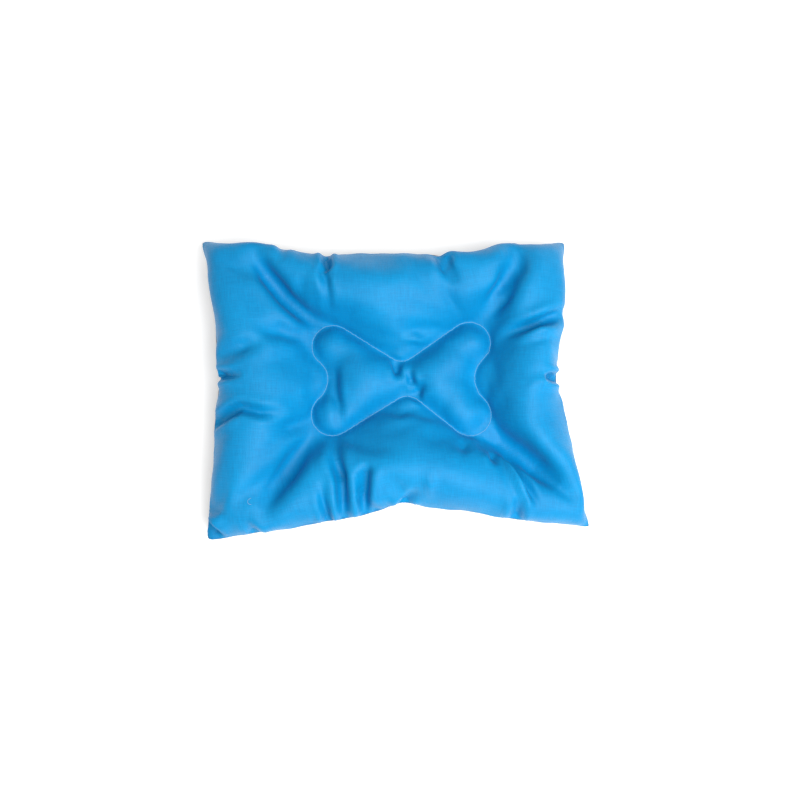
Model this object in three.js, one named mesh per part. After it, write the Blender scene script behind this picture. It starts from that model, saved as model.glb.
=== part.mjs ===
// A stuffed camp pillow lying on its back. Two cover panels are sewn together round the edge,
// turned, stuffed with loose fibre and quilted through the middle along a butterfly-shaped
// loop, which parts the stuffing into an outer ring and a centre pocket.
// Millimetres, +Z up. X runs along the pillow and Y across it. The origin is on the floor,
// under the middle of the pillow's outline.
import * as THREE from "three";

// ---- Outline of the edge seam ------------------------------------------------------------
const LENGTH = 400; // tip to tip along X
const WIDTH = 310; // tip to tip along Y
// The corners, anticlockwise from above. drawnIn is how far a corner lies inside the LENGTH by
// WIDTH rectangle along X and Y, and sidePull how far the side that starts there bows inwards.
const CORNERS = [
  { signX: -1, signY: -1, drawnIn: [14, 0], sidePull: 21 }, // front left, then the front side
  { signX: 1, signY: -1, drawnIn: [0, 16], sidePull: 22 }, // front right, then the right side
  { signX: 1, signY: 1, drawnIn: [18, 0], sidePull: 16 }, // back right, then the back side
  { signX: -1, signY: 1, drawnIn: [0, 0], sidePull: 18 }, // back left, then the left side
];

// ---- Heights above the floor -------------------------------------------------------------
const LOFT = 74; // crest of the stuffed ring
const SEAM_HEIGHT = 30; // where the panels meet at the edge
const QUILT_HEIGHT = 12; // where the quilting holds the panels together
const POCKET_RISE = 19; // crown of the centre pocket above the quilting
const POCKET_DROP = 7; // its underside below the quilting
const BACK_DROP = 48; // how far the ring would hang below its seams if there were no floor
const CORNER_FLATNESS = 0.4; // share of the ring's rise that is lost at a corner

// ---- Quilting loop: four round lobes with a waist between each two --------------------------
const QUILT_CENTRE = new THREE.Vector2(9, 10);
const LOBE_X = 69.5; // centre of a lobe from the loop's centre
const LOBE_Y = 36.5;
const LOBE_RADIUS = 21.5;
const MIDDLE_WAIST = 18.5; // half the loop's width at its middle
const MIDDLE_WAIST_RADIUS = 15;
const FRONT_WAIST_SHIFT = 6; // the front middle waist lies to the right of the centre
const END_WAIST = 74.5; // half the loop's length between the two end waists
const LOBE_TIP_ANGLE = Math.PI / 4; // where on a lobe its tip faces a corner
const CHANNEL = 4; // width of the flat channel that the quilting presses

// ---- Cloth, seams and thread ----------------------------------------------------------------
const FABRIC = 0.6; // cover cloth with its coating
const ALLOWANCE = 10; // seam allowance, turned in
const THREAD_RADIUS = 0.4;
const OVERLOCK_COVER = 4; // how much of the allowance the overlock thread covers
const OVERLOCK_THICKNESS = 0.5;
const CLOSING_START = 0.25; // where the stuffing gap lies, in shares of the front side
const CLOSING_END = 0.55;
const CLOSING_FROM_SEAM = 0.15; // how far the closing stitch is from the seam, in the last facet
const FOLD_DEPTH = 3; // how far the stuffing stays back from the seam
const GAP = 0.3; // clearance between pieces that touch

// ---- Mesh steps -----------------------------------------------------------------------------
const SIDE_STEPS = 12; // stations along each side
const POCKET_STEPS = 4; // from the middle to the quilting
const RING_STEPS = 8; // from the quilting to the seam
const THREAD_SIDES = 6;

const TOP = 1;
const BACK = -1;

// ---- Plan curves ----------------------------------------------------------------------------

function cornerPoint({ signX, signY, drawnIn }) {
  return new THREE.Vector2(
    signX * (LENGTH / 2 - drawnIn[0]),
    signY * (WIDTH / 2 - drawnIn[1]),
  );
}

// The seam's stations, anticlockwise, with one on each corner.
function seamOutline() {
  return CORNERS.flatMap((corner, side) => {
    const start = cornerPoint(corner);
    const end = cornerPoint(CORNERS[(side + 1) % CORNERS.length]);
    const inward = end.clone().sub(start).normalize();
    inward.set(-inward.y, inward.x);
    return Array.from({ length: SIDE_STEPS }, (_, step) => {
      const share = step / SIDE_STEPS;
      const bow = 4 * share * (1 - share) * corner.sidePull;
      return start.clone().lerp(end, share).addScaledVector(inward, bow);
    });
  });
}

// One lobe's outline from its tip to the middle waist, which lies a shift from the centre
// towards the lobe: an arc, a straight line and a hollow arc.
function tipToMiddleWaist(shift) {
  const hollowY = MIDDLE_WAIST + MIDDLE_WAIST_RADIUS;
  const apart = new THREE.Vector2(LOBE_X - shift, LOBE_Y - hollowY);
  const radii = LOBE_RADIUS + MIDDLE_WAIST_RADIUS;
  const slope = apart.angle() + Math.asin(radii / apart.length());
  const path = new THREE.Path();
  path.absarc(LOBE_X, LOBE_Y, LOBE_RADIUS, LOBE_TIP_ANGLE, slope + Math.PI / 2, false);
  path.absarc(shift, hollowY, MIDDLE_WAIST_RADIUS, slope - Math.PI / 2, -Math.PI / 2, true);
  return path;
}

// From the tip to the end waist: an arc and the hollow arc that touches it.
function tipToEndWaist() {
  const reach = END_WAIST - LOBE_X;
  const radius =
    (LOBE_Y ** 2 + reach ** 2 - LOBE_RADIUS ** 2) / (2 * (LOBE_RADIUS - reach));
  const hollowX = END_WAIST + radius;
  const touch = Math.atan2(-LOBE_Y, hollowX - LOBE_X);
  const path = new THREE.Path();
  path.absarc(LOBE_X, LOBE_Y, LOBE_RADIUS, LOBE_TIP_ANGLE, touch, true);
  path.absarc(hollowX, 0, radius, touch + Math.PI, Math.PI, false);
  return path;
}

// The quilting's stations, which pair off with the seam's: lobe tips with corners, waists with
// the middles of the sides.
function quiltLoop() {
  return CORNERS.flatMap((corner, side) => {
    const next = CORNERS[(side + 1) % CORNERS.length];
    return Array.from({ length: SIDE_STEPS }, (_, step) => {
      const share = (2 * step) / SIDE_STEPS;
      const { signX, signY } = share < 1 ? corner : next;
      const shift = signY < 0 ? signX * FRONT_WAIST_SHIFT : 0;
      const path = side % 2 ? tipToEndWaist() : tipToMiddleWaist(shift);
      const point = path.getPointAt(Math.min(share, 2 - share));
      return new THREE.Vector2(signX * point.x, signY * point.y).add(QUILT_CENTRE);
    });
  });
}

// An anticlockwise loop moved inwards by a distance, with its corners mitred.
function insetLoop(loop, distance) {
  return loop.map((point, i) => {
    const before = loop[(i + loop.length - 1) % loop.length];
    const after = loop[(i + 1) % loop.length];
    const a = point.clone().sub(before).normalize();
    const b = after.clone().sub(point).normalize();
    const inward = new THREE.Vector2(-a.y - b.y, a.x + b.x);
    return point.clone().addScaledVector(inward, distance / (1 + a.dot(b)));
  });
}

const seam = seamOutline();
const quilt = quiltLoop();
const channelInner = insetLoop(quilt, CHANNEL / 2);
const channelOuter = insetLoop(quilt, -CHANNEL / 2);

// ---- Cover sheets ---------------------------------------------------------------------------

function at(plan, z) {
  return new THREE.Vector3(plan.x, plan.y, z);
}

// A cover's outer face: for each station, the points from the middle out to the seam.
function coverSheet(face) {
  const quiltLevel = QUILT_HEIGHT + face * (GAP / 2 + FABRIC);
  const seamLevel = SEAM_HEIGHT + (face * GAP) / 2;
  const crown = face === TOP ? POCKET_RISE : POCKET_DROP;
  const ringRise = face === TOP ? LOFT - (QUILT_HEIGHT + SEAM_HEIGHT) / 2 : BACK_DROP;
  return seam.map((edge, station) => {
    const points = [];
    for (let k = 0; k <= POCKET_STEPS; k += 1) {
      const angle = ((Math.PI / 2) * k) / POCKET_STEPS;
      const plan = QUILT_CENTRE.clone().lerp(channelInner[station], Math.sin(angle));
      points.push(at(plan, quiltLevel + face * crown * Math.cos(angle)));
    }
    const alongSide = (station % SIDE_STEPS) / SIDE_STEPS;
    const rise = ringRise * (1 - CORNER_FLATNESS * Math.abs(2 * alongSide - 1) ** 3);
    for (let k = 0; k <= RING_STEPS; k += 1) {
      const angle = (Math.PI * k) / RING_STEPS;
      const share = (1 - Math.cos(angle)) / 2;
      const plan = channelOuter[station].clone().lerp(edge, share);
      const level = THREE.MathUtils.lerp(quiltLevel, seamLevel, share);
      points.push(at(plan, Math.max(0, level + face * rise * Math.sin(angle))));
    }
    return points;
  });
}

// The sheet moved inwards by a distance, square to its surface, with its bends mitred.
function insetSheet(sheet, face, distance) {
  const stations = sheet.length;
  return sheet.map((row, i) => {
    const before = sheet[(i + stations - 1) % stations];
    const after = sheet[(i + 1) % stations];
    return row.map((point, k) => {
      if (k === 0) return point.clone().setZ(point.z - face * distance);
      const around = after[k].clone().sub(before[k]);
      const normalOf = (from, to) =>
        to.clone().sub(from).cross(around).normalize().multiplyScalar(face);
      const inner = normalOf(row[k - 1], point);
      const outer = k + 1 < row.length ? normalOf(point, row[k + 1]) : inner;
      const scale = distance / (1 + inner.dot(outer));
      return point.clone().addScaledVector(inner.clone().add(outer), -scale);
    });
  });
}

const sheets = { [TOP]: coverSheet(TOP), [BACK]: coverSheet(BACK) };

// ---- Solids ---------------------------------------------------------------------------------

// Joins cross-sections, one for each station, into one closed surface. A patch between two
// sections is split from its inner corner on the first to its outer corner on the second, so
// surfaces that run side by side are split alike and stay apart. An open row of sections is
// closed by a fan at each end. Triangles that shrink to a line at the middle are left out.
function loft(sections, closed) {
  const size = sections[0].length;
  const middle = at(QUILT_CENTRE, QUILT_HEIGHT);
  const corners = [];
  const triangle = (a, b, c) => {
    const flat = a.distanceTo(b) * b.distanceTo(c) * c.distanceTo(a) < 1e-6;
    if (!flat) corners.push(a, b, c);
  };
  const last = closed ? sections.length : sections.length - 1;
  for (let i = 0; i < last; i += 1) {
    const here = sections[i];
    const next = sections[(i + 1) % sections.length];
    for (let k = 0; k < size; k += 1) {
      const m = (k + 1) % size;
      if (here[m].distanceTo(middle) > here[k].distanceTo(middle)) {
        triangle(here[k], here[m], next[m]);
        triangle(here[k], next[m], next[k]);
      } else {
        triangle(here[k], here[m], next[k]);
        triangle(here[m], next[m], next[k]);
      }
    }
  }
  if (!closed) {
    const first = sections[0];
    const end = sections[sections.length - 1];
    for (let k = 1; k + 1 < size; k += 1) {
      triangle(first[0], first[k + 1], first[k]);
      triangle(end[0], end[k], end[k + 1]);
    }
  }
  return new THREE.BufferGeometry().setFromPoints(corners);
}

// A cover panel with its turned-in seam allowance.
function coverPanel(face) {
  const outer = sheets[face];
  const inner = insetSheet(outer, face, FABRIC);
  const rawEdge = insetLoop(seam, ALLOWANCE);
  const fold = insetLoop(seam, FABRIC);
  const outside = SEAM_HEIGHT + (face * GAP) / 2;
  const inside = outside + face * FABRIC;
  const sections = outer.map((row, i) => {
    const section = [
      ...row,
      at(rawEdge[i], outside),
      at(rawEdge[i], inside),
      at(fold[i], inside),
      ...inner[i].slice(0, -1).reverse(),
    ];
    return face === TOP ? section : section.reverse();
  });
  return loft(sections, true);
}

// Half the height of the slot that the stuffing leaves for the seam allowances and their thread.
const SLOT_HALF = GAP / 2 + FABRIC + GAP + 2 * THREAD_RADIUS + GAP;

// Loose fibre in the outer ring. It lies against both covers and round the seam allowances, and
// leaves the narrow fold at the seam free.
function ringFill() {
  const inset = FABRIC + GAP;
  const top = insetSheet(sheets[TOP], TOP, inset);
  const back = insetSheet(sheets[BACK], BACK, inset);
  const first = POCKET_STEPS + 2;
  const slotMouth = insetLoop(seam, FOLD_DEPTH);
  const slotEnd = insetLoop(seam, ALLOWANCE + OVERLOCK_THICKNESS + 2 * GAP);
  const sections = top.map((row, i) => [
    ...row.slice(first, -1),
    at(slotMouth[i], SEAM_HEIGHT + SLOT_HALF),
    at(slotEnd[i], SEAM_HEIGHT + SLOT_HALF),
    at(slotEnd[i], SEAM_HEIGHT - SLOT_HALF),
    at(slotMouth[i], SEAM_HEIGHT - SLOT_HALF),
    ...back[i].slice(first, -1).reverse(),
  ]);
  return loft(sections, true);
}

// Loose fibre in the pocket inside the quilting.
function pocketFill() {
  const inset = FABRIC + GAP;
  const top = insetSheet(sheets[TOP], TOP, inset);
  const back = insetSheet(sheets[BACK], BACK, inset);
  const sections = top.map((row, i) => [
    ...row.slice(0, POCKET_STEPS),
    ...back[i].slice(0, POCKET_STEPS).reverse(),
  ]);
  return loft(sections, true);
}

// A thread along a row of points, round in section.
function thread(points, closed) {
  const count = points.length;
  const up = new THREE.Vector3(0, 0, 1);
  const sections = points.map((point, i) => {
    const before = points[closed ? (i + count - 1) % count : Math.max(i - 1, 0)];
    const after = points[closed ? (i + 1) % count : Math.min(i + 1, count - 1)];
    const sideways = after.clone().sub(before).cross(up).normalize();
    return Array.from({ length: THREAD_SIDES }, (_, k) => {
      const angle = (-2 * Math.PI * k) / THREAD_SIDES;
      return point
        .clone()
        .addScaledVector(sideways, THREAD_RADIUS * Math.cos(angle))
        .addScaledVector(up, THREAD_RADIUS * Math.sin(angle));
    });
  });
  return loft(sections, closed);
}

// Height of a thread that lies on two plies, from the plane between them.
const THREAD_LEVEL = GAP / 2 + FABRIC + GAP + THREAD_RADIUS;

// Quilting thread, in the channel that it presses into a cover.
function quiltingThread(face) {
  return thread(
    quilt.map((plan) => at(plan, QUILT_HEIGHT + face * THREAD_LEVEL)),
    true,
  );
}

// The stations of the front side that the stuffing gap takes up.
const gapStart = Math.round(CLOSING_START * SIDE_STEPS);
const gapEnd = Math.round(CLOSING_END * SIDE_STEPS);

// Edge seam thread, inside the cover on the seam allowance. It stops at the stuffing gap.
function seamThread(face) {
  const line = insetLoop(seam, FABRIC + 3 * GAP + THREAD_RADIUS);
  const run = [...line.slice(gapEnd), ...line.slice(0, gapStart + 1)];
  return thread(
    run.map((plan) => at(plan, SEAM_HEIGHT + face * THREAD_LEVEL)),
    false,
  );
}

// Closing stitch, on the outside of a cover just clear of the seam, along the stuffing gap.
function closingThread(face) {
  const up = new THREE.Vector3(0, 0, 1);
  const points = [];
  for (let i = gapStart; i <= gapEnd; i += 1) {
    const row = sheets[face][i];
    const edge = row[row.length - 1];
    const rise = row[row.length - 2].clone().sub(edge);
    const along = seam[i + 1].clone().sub(seam[i - 1]);
    const tangent = at(along, 0).normalize();
    const outward = tangent.clone().cross(rise.clone().multiplyScalar(face)).normalize();
    if (outward.dot(tangent.clone().cross(up)) < 0) outward.negate();
    points.push(
      edge
        .clone()
        .addScaledVector(rise, CLOSING_FROM_SEAM)
        .addScaledVector(outward, GAP + THREAD_RADIUS),
    );
  }
  return thread(points, false);
}

// Overlock thread, wrapped round the raw edges of both seam allowances.
function overlockThread() {
  const clear = GAP / 2 + FABRIC + GAP;
  const outer = clear + OVERLOCK_THICKNESS;
  const mouth = insetLoop(seam, ALLOWANCE - OVERLOCK_COVER);
  const bight = insetLoop(seam, ALLOWANCE + GAP);
  const back = insetLoop(seam, ALLOWANCE + GAP + OVERLOCK_THICKNESS);
  const sections = seam.map((_, i) => [
    at(mouth[i], SEAM_HEIGHT + clear),
    at(bight[i], SEAM_HEIGHT + clear),
    at(bight[i], SEAM_HEIGHT - clear),
    at(mouth[i], SEAM_HEIGHT - clear),
    at(mouth[i], SEAM_HEIGHT - outer),
    at(back[i], SEAM_HEIGHT - outer),
    at(back[i], SEAM_HEIGHT + outer),
    at(mouth[i], SEAM_HEIGHT + outer),
  ]);
  return loft(sections, true);
}

// ---- Materials and assembly -----------------------------------------------------------------

function cloth(color) {
  return new THREE.MeshStandardMaterial({ color, roughness: 0.6, metalness: 0 });
}

const blueCloth = cloth(0x2e9bdc);
const darkCloth = cloth(0x1b1f27);
const fibre = cloth(0xf2f1ec);
const paleThread = cloth(0xa9cdea);
const blueThread = cloth(0x3a8fc9);

function piece(name, geometry, material) {
  geometry.computeVertexNormals();
  const mesh = new THREE.Mesh(geometry, material);
  mesh.name = name;
  return mesh;
}

const pillow = new THREE.Group();
pillow.add(
  piece("top_panel", coverPanel(TOP), blueCloth),
  piece("back_panel", coverPanel(BACK), darkCloth),
  piece("ring_fill", ringFill(), fibre),
  piece("pocket_fill", pocketFill(), fibre),
  piece("quilting_needle_thread", quiltingThread(TOP), paleThread),
  piece("quilting_bobbin_thread", quiltingThread(BACK), paleThread),
  piece("edge_seam_needle_thread", seamThread(TOP), blueThread),
  piece("edge_seam_bobbin_thread", seamThread(BACK), blueThread),
  piece("edge_overlock_thread", overlockThread(), blueThread),
  piece("closing_needle_thread", closingThread(TOP), blueThread),
  piece("closing_bobbin_thread", closingThread(BACK), blueThread),
);

export default pillow;
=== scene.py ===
"""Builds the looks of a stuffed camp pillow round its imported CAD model.

The two cover panels are cut flat, sewn together round the edge and along a butterfly-shaped
quilting loop, and blown up by cloth simulation, with their seams guided to where the CAD model
has them. Stuffing, stitches and overlocking are then made from the finished covers.
"""

import math

import bpy
import numpy as np
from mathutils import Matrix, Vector, geometry, noise
from mathutils.bvhtree import BVHTree
from mathutils.interpolate import poly_3d_calc
from mathutils.kdtree import KDTree


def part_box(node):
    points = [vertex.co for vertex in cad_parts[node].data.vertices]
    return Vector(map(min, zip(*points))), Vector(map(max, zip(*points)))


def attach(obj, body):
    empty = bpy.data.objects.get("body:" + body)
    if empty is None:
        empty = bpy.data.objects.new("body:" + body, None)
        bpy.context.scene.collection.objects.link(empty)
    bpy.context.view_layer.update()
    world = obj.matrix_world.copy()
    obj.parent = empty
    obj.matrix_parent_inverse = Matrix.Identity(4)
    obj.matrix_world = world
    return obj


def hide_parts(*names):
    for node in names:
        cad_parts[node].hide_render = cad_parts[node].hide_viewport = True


bl_info = {
    "name": "Camp pillow",
    "version": (1, 0, 0),
    "blender": (4, 5, 0),
    "location": "3D View > Sidebar > Pillow",
    "description": "Sews, stuffs and quilts a camp pillow",
    "category": "Object",
}

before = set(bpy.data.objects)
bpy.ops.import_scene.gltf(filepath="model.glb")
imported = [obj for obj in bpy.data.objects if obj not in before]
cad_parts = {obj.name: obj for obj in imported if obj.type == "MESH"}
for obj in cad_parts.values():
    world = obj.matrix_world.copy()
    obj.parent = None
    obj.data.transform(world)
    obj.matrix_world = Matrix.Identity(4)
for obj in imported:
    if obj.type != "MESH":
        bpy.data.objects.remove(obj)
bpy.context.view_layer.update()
MM = 0.001
TOP = 1
BACK = -1

EDGE_LOW, EDGE_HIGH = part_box("top_panel")
LOOP_LOW, LOOP_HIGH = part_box("quilting_needle_thread")
MIDDLE = (EDGE_LOW + EDGE_HIGH) / 2

# ---- What this pillow's edge and cloth look like ---------------------------------------------
# The sides, anticlockwise from above. Each starts at a corner, which lies some millimetres
# inside the CAD box along X and Y. Pulls are pairs: the share of the way along the side, and
# how many millimetres the seam is drawn in there from a straight line between the corners.
# Rises are pairs too: where the back cover peeks out, the seam lies that many millimetres higher.
SIDES = {
    "front": {
        "corner": (-1, -1),
        "inset": (14, 0),
        "pulls": [
            (0.08, 5), (0.14, 7), (0.24, 11), (0.32, 16), (0.42, 21), (0.48, 29), (0.51, 34),
            (0.55, 28), (0.61, 24), (0.69, 20), (0.74, 15), (0.85, 8), (0.92, 5),
        ],
        "rises": [(0, 8)],
    },
    "right": {
        "corner": (1, -1),
        "inset": (0, 14),
        "pulls": [
            (0.11, 10), (0.28, 14), (0.36, 18), (0.44, 20), (0.50, 26), (0.58, 21), (0.67, 16),
            (0.75, 12), (0.90, 7),
        ],
        "rises": [],
    },
    "back": {
        "corner": (1, 1),
        "inset": (20, 0),
        "pulls": [
            (0.08, 7), (0.18, 11), (0.25, 17), (0.31, 26), (0.37, 19), (0.48, 17), (0.61, 18),
            (0.66, 20), (0.76, 13), (0.87, 8),
        ],
        "rises": [(0.31, 8)],
    },
    "left": {
        "corner": (-1, 1),
        "inset": (0, 0),
        "pulls": [
            (0.10, 9), (0.18, 12), (0.26, 16), (0.34, 17), (0.42, 20), (0.48, 22), (0.53, 17),
            (0.58, 14), (0.69, 12), (0.80, 9), (0.90, 4),
        ],
        "rises": [(0.44, 11)],
    },
}
# Where the stuffing leaves the top cover slack and it folds. Each fold has its half width and the
# points that it runs through, over the finished pillow: X and Y in millimetres, then how deep the
# fold is there, as a share of the deepest. A ridge has less than nothing for its depth.
FOLDS = [
    # back left
    (8, [(-136, 129, 0), (-127, 113, 1), (-109, 91, 1.2), (-92, 73, 0.8), (-74, 60, 0.2)]),
    (5, [(-111, 139, 0.4), (-110, 121, 0)]),
    (4, [(-67, 132, 0.9), (-65, 119, 0.9), (-69, 112, 0.5), (-66, 103, 0.6), (-62, 75, 0)]),
    (6, [(-94, 110, 0), (-90, 100, 0.3), (-84, 88, 0)]),
    # left
    (8, [(-137, 48, 0), (-112, 55, 0.5), (-94, 51, 0.5), (-81, 36, 0.2)]),
    (6, [(-168, 25, 0), (-147, 36, 0.4), (-125, 45, 0)]),
    (4, [(-172, 10, 1), (-160, 9, 0.8), (-146, 9, 0)]),
    (5, [(-178, -38, 0.8), (-157, -27, 1), (-148, -24, 0.8), (-128, -29, 0.8), (-103, -29, 0)]),
    (7, [(-124, -45, 0), (-104, -41, 0.5), (-84, -34, 0.2)]),
    # front left
    (11, [(-80, -55, 0.4), (-93, -69, 0.9), (-105, -87, 1.1), (-120, -102, 0.8), (-133, -120, 0)]),
    (6, [(-57, -55, 0.3), (-56, -72, 0.8), (-53, -88, 0.3)]),
    (5, [(-55, -73, 0), (-50, -90, 1.1), (-48, -112, 1.1), (-47, -132, 0.5)]),
    (5, [(-22, -78, 0), (-26, -90, 1), (-28, -112, 1.2), (-25, -130, 0.6)]),
    (4, [(-70, -96, 0), (-67, -115, 0.6), (-62, -138, 1)]),
    (4, [(-20, -114, 0), (-14, -128, 0.8)]),
    (5, [(-146, -133, 0), (-134, -149, 0.8)]),
    (4, [(-188, -134, 0.6), (-180, -140, 1.2), (-173, -149, 0.4)]),
    (5, [(-187, -128, -0.1), (-172, -134, -0.5), (-161, -146, -0.1)]),
    # front
    (4, [(8, -121, 1), (16, -112, 0.6), (27, -103, 0)]),
    (5, [(35, -84, 0), (37, -100, -0.3), (36, -112, 0)]),
    (6, [(66, -55, 0), (71, -62, 0.5), (76, -70, 0)]),
    # front right
    (12, [(88, -36, 0.4), (107, -54, 1), (125, -67, 1.1), (142, -81, 1), (165, -99, 0)]),
    (4, [(103, -66, 0), (114, -82, -0.6), (125, -100, -0.6), (139, -125, 0)]),
    (4, [(111, -66, 0), (121, -82, 0.8), (131, -100, 0.9), (142, -120, 0)]),
    (5, [(124, -108, 0), (123, -122, 0.7), (121, -138, 0.9)]),
    (4, [(99, -67, 0), (99, -73, 0.5), (101, -82, 0)]),
    # right
    (4, [(168, 8, 1.2), (158, 7, 1.2), (148, 5, 0)]),
    (5, [(132, -2, 0), (149, 2, -0.4), (164, -2, 0)]),
    (5, [(171, 74, 0.2), (158, 67, 0.9), (138, 59, 0.8), (106, 49, 0)]),
    (4, [(168, 54, 0), (147, 52, -0.5), (125, 44, 0)]),
    # back right
    (10, [(127, 138, 0.2), (122, 117, 0.8), (107, 88, 1), (89, 65, 0.2)]),
    (4, [(119, 105, 0), (107, 90, -0.6), (95, 75, 0)]),
    (5, [(107, 119, 0), (101, 106, -0.3), (96, 93, 0)]),
    (6, [(47, 130, 0.4), (53, 117, 0.8), (61, 99, 0)]),
    (4, [(57, 126, 0.3), (56, 117, 0)]),
    # round and inside the quilting
    (4, [(5, 48, 0), (22, 50, -0.4), (40, 46, 0)]),
    (5, [(-14, -23, 0), (8, -27, 0.4), (27, -21, 0)]),
    (5, [(-58, 24, 0), (-57, 8, 0.4), (-54, -20, 0.5), (-54, -42, 0)]),
    (4, [(3, 25, 0.6), (4, 17, 0.9), (6, 6, 0)]),
    (4, [(15, 17, 0), (20, 8, 0.7), (25, 0, 0)]),
    (4, [(24, -8, 0.8), (28, -2, 0.5), (36, 5, 0)]),
]
# Where the middle of the loop lies on the flat cloth, in shares of where it lies when stuffed.
LOOP_PLACE = (1.1, 0.3)
# Where the loose end of thread lies on the top cover, in millimetres.
CURL = [(-138, -112), (-140.3, -113.6), (-141, -116), (-139.6, -118), (-137.4, -118.2)]
# Where the rings of the turned-in allowance lie, in shares of its width.
STRIP = (0.15, 0.4, 0.7, 1.0)
# The stretch of the front that stays open for stuffing and is closed last, in shares of the side.
CLOSING = (0.25, 0.55)
# How far the middle of a thread lies off the cloth, in thread diameters.
PROUD = 0.3


# ---- Sizes and colours that a user would change ----------------------------------------------


def length(name, description, default, **more):
    return bpy.props.FloatProperty(
        name=name, description=description, default=default, unit="LENGTH", precision=4, **more
    )


def colour(name, description, default):
    return bpy.props.FloatVectorProperty(
        name=name, description=description, default=default, subtype="COLOR", size=3, min=0, max=1
    )


class PillowSizes(bpy.types.PropertyGroup):
    """Sizes of the cover, its seams and its thread."""

    flat_length: length("Flat length", "Cover from seam to seam before stuffing", 0.436)
    flat_width: length("Flat width", "The same across the pillow", 0.344)
    flat_loop: bpy.props.FloatProperty(
        name="Flat loop",
        description="Size of the quilting loop before stuffing, to its size when stuffed",
        default=1.12,
    )
    cloth_step: length("Cloth step", "Spacing of the simulated cloth's points", 0.0045)
    seam_height: length("Seam height", "Edge seam above the floor, between the corners", 0.038)
    corner_height: length("Corner height", "Edge seam above the floor at a corner", 0.022)
    quilt_height: length("Quilting height", "Quilting above the floor", 0.026)
    cloth_thickness: length("Cloth thickness", "Thickness of the cover cloth", 0.0005)
    allowance: length("Allowance", "Seam allowance turned in at the edge", 0.010)
    yarn: length("Yarn", "Spacing of the cloth's yarns", 0.0008)
    stitch_length: length("Stitch length", "Length of one stitch with its gap", 0.0028)
    stitch_gap: length("Stitch gap", "Gap between two stitches", 0.0005)
    loft_gap: length("Lining gap", "Stuffing to the inside of the cover", 0.0015)
    thread_diameter: length("Thread diameter", "Diameter of the sewing thread", 0.0004)
    fold_depth: length("Fold depth", "Depth of the deepest folds", 0.008)
    pocket_swell: length("Pocket swell", "How far the quilted pocket stands proud", 0.006)
    ring_swell: length("Ring swell", "How far the ring stands proud beside its seams", 0.001)
    fill_pressure: bpy.props.FloatProperty(
        name="Fill pressure", description="How hard the stuffing pushes the covers out", default=45
    )
    bending: bpy.props.FloatProperty(
        name="Bending stiffness", description="How much the cloth resists bending", default=6
    )
    tension: bpy.props.FloatProperty(
        name="Stretch stiffness", description="How much the cloth resists stretching", default=40
    )


class PillowColours(bpy.types.PropertyGroup):
    """Colours of what the pillow is made of, and the sheen of its cloth."""

    blue_shaded: colour("Blue, shaded", "Top cover between its yarns", (0.0, 0.165, 0.39))
    blue_lit: colour("Blue, lit", "Top cover on top of its yarns", (0.0, 0.30, 0.63))
    dark_shaded: colour("Dark, shaded", "Back cover between its yarns", (0.004, 0.005, 0.007))
    dark_lit: colour("Dark, lit", "Back cover on top of its yarns", (0.014, 0.016, 0.021))
    roughness: bpy.props.FloatProperty(
        name="Roughness", description="Roughness of the yarn", default=0.45, subtype="FACTOR"
    )
    sheen: bpy.props.FloatProperty(
        name="Sheen", description="Soft light off the fibres", default=0.03, subtype="FACTOR"
    )
    pale_thread: colour("Quilting thread", "Thread of the quilting", (0.28, 0.54, 0.80))
    blue_thread: colour("Seam thread", "Thread of the edge", (0.033, 0.27, 0.60))
    fibre: colour("Fibre", "Stuffing", (0.86, 0.84, 0.78))


class StageSettings(bpy.types.PropertyGroup):
    """Camera and lights."""

    elevation: bpy.props.FloatProperty(
        name="Elevation", description="Camera above the floor", default=math.radians(83),
        subtype="ANGLE",
    )
    distance: length("Distance", "Camera from the middle of the pillow", 1.08)
    aim_right: length("Aim right", "How far right of the pillow's middle the camera aims", 0.0077)
    aim_front: length("Aim front", "How far in front of the middle it aims", 0.0123)
    focal_length: bpy.props.FloatProperty(
        name="Focal length", description="Lens, in millimetres on a 36 mm sensor", default=48
    )
    sky: bpy.props.FloatProperty(name="Sky", description="Strength of the even light", default=0.58)
    key: bpy.props.FloatProperty(name="Key", description="Power of the main soft light", default=20.5)


# ---- Paths over the pillow --------------------------------------------------------------------


def smooth_path(points, count):
    """Points spaced evenly along a smooth curve through some points, both ends included."""
    points = np.array(points, float)
    ends = (2 * points[0] - points[1], 2 * points[-1] - points[-2])
    knots = np.vstack([ends[0], points, ends[1]])
    t = np.linspace(0, 1, 24, endpoint=False)[:, None]
    curve = []
    for a, b, c, d in zip(knots, knots[1:], knots[2:], knots[3:]):
        bend = (2 * a - 5 * b + 4 * c - d) * t**2 + (3 * b - a - 3 * c + d) * t**3
        curve.append(b + ((c - a) * t + bend) / 2)
    return spaced(np.vstack([*curve, points[-1:]]), count)


def spaced(path, count, closed=False):
    """Points spaced evenly along a row of points. A closed row doesn't repeat its first point."""
    if closed:
        path = np.vstack([path, path[:1]])
    run = np.concatenate([[0], np.cumsum(np.linalg.norm(np.diff(path, axis=0), axis=1))])
    at = np.linspace(0, run[-1], count, endpoint=not closed)
    return np.stack([np.interp(at, run, path[:, k]) for k in range(path.shape[1])], axis=1)


def corner_point(side):
    """Where a side starts, in plan."""
    x, y = side["corner"]
    reach_x, reach_y = (EDGE_HIGH - EDGE_LOW).xy / 2
    inset_x, inset_y = side["inset"]
    return np.array([x * (reach_x - inset_x * MM), y * (reach_y - inset_y * MM)]) + MIDDLE.xy


def each_side():
    """Where each side starts and ends, and the side."""
    names = list(SIDES)
    for name, following in zip(names, names[1:] + names[:1]):
        yield corner_point(SIDES[name]), corner_point(SIDES[following]), SIDES[name]


def inward(start, end):
    """The direction into the pillow from a side."""
    along = (end - start) / np.linalg.norm(end - start)
    return np.array([-along[1], along[0]])


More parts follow.
